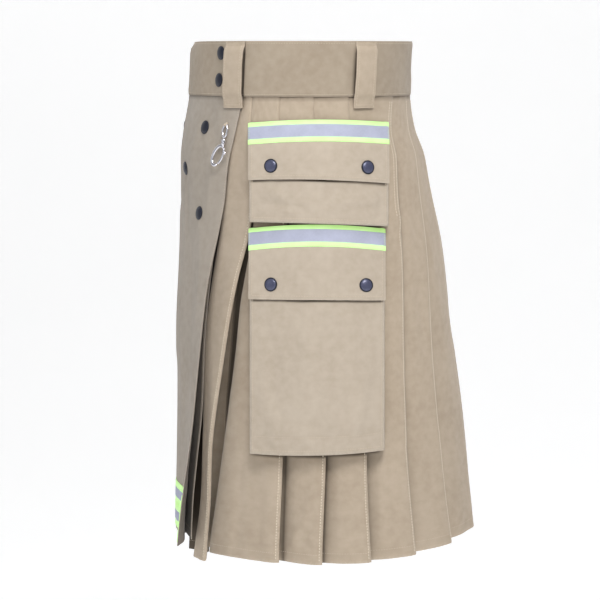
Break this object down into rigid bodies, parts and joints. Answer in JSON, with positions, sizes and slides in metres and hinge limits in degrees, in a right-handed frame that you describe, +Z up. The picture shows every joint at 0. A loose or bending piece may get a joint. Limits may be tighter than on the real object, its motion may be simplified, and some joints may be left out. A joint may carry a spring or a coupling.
{
  "type": "utility kilt",
  "caption": "Knee-length utility kilt in cotton drill: waistband with belt loops, snapped front apron, knife pleats, stacked flap pockets with bright tape bands and a small swivel clasp.",
  "frame": {"origin": "Centre of the waist opening, halfway down the waistband's height.", "axes": "+Z up towards the wearer's head, -Y the way the wearer faces, +X to the wearer's left."},
  "size_m": [0.4326, 0.3925, 0.612],
  "materials": {
    "cloth": "khaki cotton drill, matt, worn soft along folds and edges",
    "tape": "bright lime woven tape with a silver-grey retroreflective stripe",
    "snap_metal": "dark blue-black enamelled snap caps, semi-gloss",
    "clasp_metal": "polished chrome plate"
  },
  "bodies": {
    "kilt": {"apron_tape_lower": "tape", "apron_tape_upper": "tape", "belt_loop_back": "cloth", "belt_loop_left_front": "cloth", "belt_loop_left_side": "cloth", "belt_loop_right_front": "cloth", "belt_loop_right_side": "cloth", "front_apron": "cloth", "lower_flap_left": "cloth", "lower_flap_right": "cloth", "lower_pocket_left": "cloth", "lower_pocket_right": "cloth", "lower_tape_left": "tape", "lower_tape_right": "tape", "skirt_left": "cloth", "skirt_right": "cloth", "snap_apron_left_bottom": "snap_metal", "snap_apron_left_top": "snap_metal", "snap_apron_middle": "snap_metal", "snap_apron_right_bottom": "snap_metal", "snap_apron_right_top": "snap_metal", "snap_lower_flap_left_back": "snap_metal", "snap_lower_flap_left_front": "snap_metal", "snap_lower_flap_right_back": "snap_metal", "snap_lower_flap_right_front": "snap_metal", "snap_upper_flap_left_back": "snap_metal", "snap_upper_flap_left_front": "snap_metal", "snap_upper_flap_right_back": "snap_metal", "snap_upper_flap_right_front": "snap_metal", "snap_waist_left_1": "snap_metal", "snap_waist_left_2": "snap_metal", "snap_waist_right_1": "snap_metal", "snap_waist_right_2": "snap_metal", "under_apron": "cloth", "upper_flap_left": "cloth", "upper_flap_right": "cloth", "upper_pocket_left": "cloth", "upper_pocket_right": "cloth", "upper_tape_left": "tape", "upper_tape_right": "tape", "waistband_back": "cloth", "waistband_front": "cloth"},
    "eye": {"clasp_eye": "clasp_metal"},
    "claw": {"clasp_claw": "clasp_metal"},
    "gate": {"clasp_gate": "clasp_metal"}
  },
  "joints": [
    {"name": "clasp_lift", "type": "hinge", "parent": "kilt", "child": "eye", "pos_m": [0.0957, -0.11869, -0.06599], "axis": [-0.8503, -0.5262, 0], "range_deg": [0, 80]},
    {"name": "clasp_swivel", "type": "hinge", "parent": "eye", "child": "claw", "pos_m": [0.09761, -0.12177, -0.08505], "axis": [-0.0984, 0.1591, 0.9823], "range_deg": [0, 45]},
    {"name": "gate_open", "type": "hinge", "parent": "claw", "child": "gate", "pos_m": [0.09994, -0.12228, -0.09372], "axis": [-0.517, 0.8353, -0.1871], "range_deg": [0, 22], "stiffness_Nm_per_rad": 0.00003, "springref_deg": -28.65}
  ]
}
